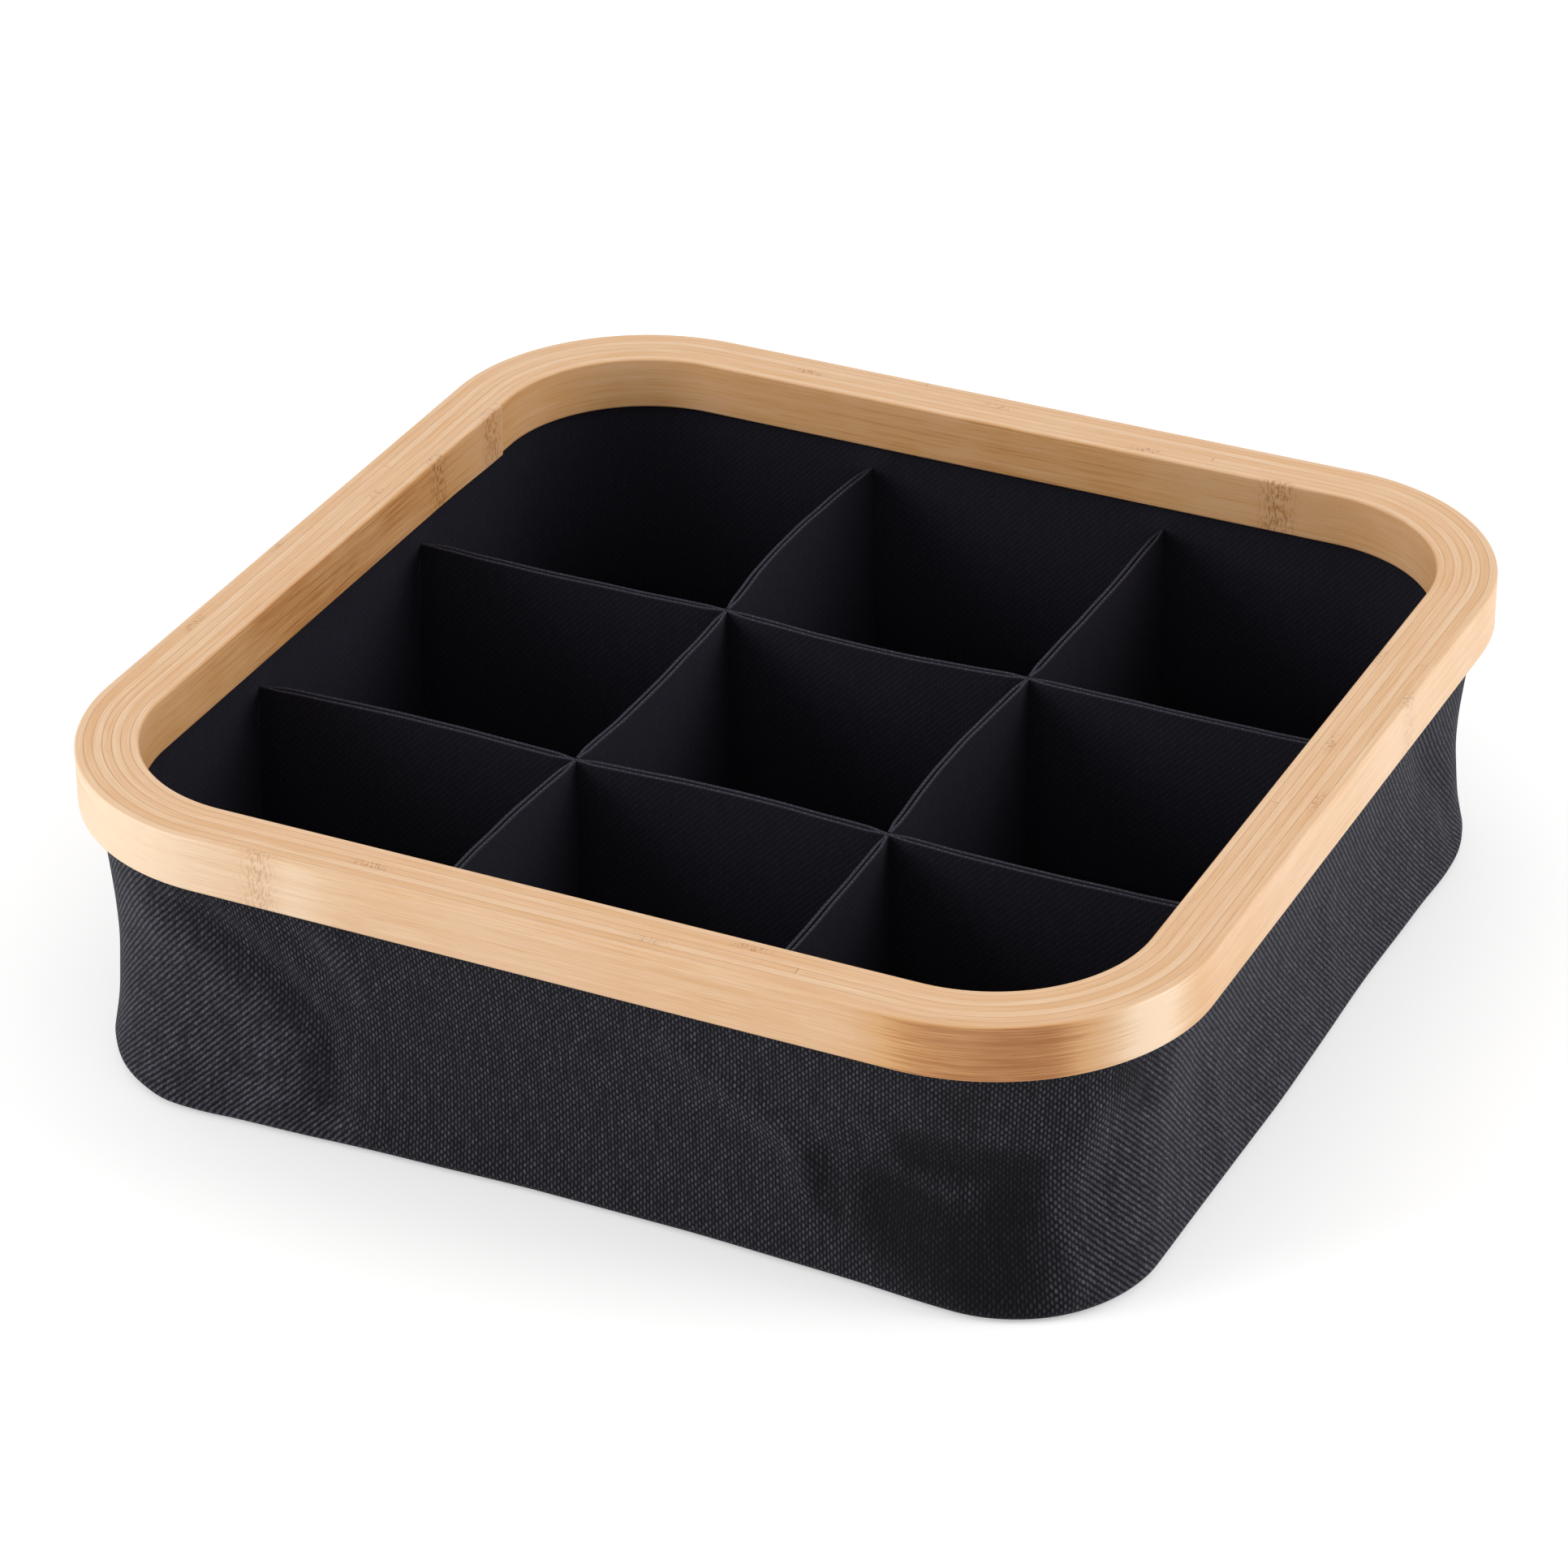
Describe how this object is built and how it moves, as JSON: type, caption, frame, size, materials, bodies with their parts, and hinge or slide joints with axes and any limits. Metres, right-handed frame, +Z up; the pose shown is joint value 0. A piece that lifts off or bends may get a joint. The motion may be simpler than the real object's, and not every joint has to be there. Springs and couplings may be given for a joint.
{
  "type": "foldable compartment organizer",
  "caption": "Square drawer organizer with a rounded laminated bamboo rim, dark cloth walls, a stiff base and a grid of cloth dividers; it folds flat when the rim is pressed down.",
  "frame": {"origin": "centre of the underside, on the surface that the organizer stands on", "axes": "+Z up, +X to the organizer's right and -Y to its front, the side that faces the viewer; the four sides are alike"},
  "size_m": [0.32, 0.32, 0.09],
  "materials": {
    "bamboo": "clear satin lacquer over pale carbonised bamboo",
    "charcoal_cloth": "coarse matt polyester weave",
    "black_cloth": "fine matt polyester twill",
    "felt": "grey needled felt",
    "greyboard": "plain pressed board"
  },
  "bodies": {
    "base": {"outer_skirt": "charcoal_cloth", "wall_lining": "black_cloth", "wall_felt_front": "felt", "wall_felt_right": "felt", "wall_felt_back": "felt", "wall_felt_left": "felt", "base_cover": "charcoal_cloth", "base_board": "greyboard", "floor_lining": "black_cloth", "row_back_left_sleeve": "black_cloth", "row_back_middle_sleeve": "black_cloth", "row_back_right_sleeve": "black_cloth", "row_front_left_sleeve": "black_cloth", "row_front_middle_sleeve": "black_cloth", "row_front_right_sleeve": "black_cloth", "column_left_back_sleeve": "black_cloth", "column_left_middle_sleeve": "black_cloth", "column_left_front_sleeve": "black_cloth", "column_right_back_sleeve": "black_cloth", "column_right_middle_sleeve": "black_cloth", "column_right_front_sleeve": "black_cloth", "row_back_left_felt": "felt", "row_back_middle_felt": "felt", "row_back_right_felt": "felt", "row_front_left_felt": "felt", "row_front_middle_felt": "felt", "row_front_right_felt": "felt", "column_left_back_felt": "felt", "column_left_middle_felt": "felt", "column_left_front_felt": "felt", "column_right_back_felt": "felt", "column_right_middle_felt": "felt", "column_right_front_felt": "felt"},
    "rim": {"rim_ply_1": "bamboo", "rim_ply_2": "bamboo", "rim_ply_3": "bamboo", "rim_ply_4": "bamboo", "rim_ply_5": "bamboo", "rim_ply_6": "bamboo", "rim_ply_7": "bamboo"}
  },
  "joints": [
    {"name": "rim_fold", "type": "slide", "parent": "base", "child": "rim", "axis": [0, 0, -1], "range_m": [0, 0.06], "deforming": ["outer_skirt", "wall_lining", "wall_felt_front", "wall_felt_right", "wall_felt_back", "wall_felt_left", "row_back_left_sleeve", "row_back_middle_sleeve", "row_back_right_sleeve", "row_front_left_sleeve", "row_front_middle_sleeve", "row_front_right_sleeve", "column_left_back_sleeve", "column_left_middle_sleeve", "column_left_front_sleeve", "column_right_back_sleeve", "column_right_middle_sleeve", "column_right_front_sleeve", "row_back_left_felt", "row_back_middle_felt", "row_back_right_felt", "row_front_left_felt", "row_front_middle_felt", "row_front_right_felt", "column_left_back_felt", "column_left_middle_felt", "column_left_front_felt", "column_right_back_felt", "column_right_middle_felt", "column_right_front_felt"]}
  ]
}
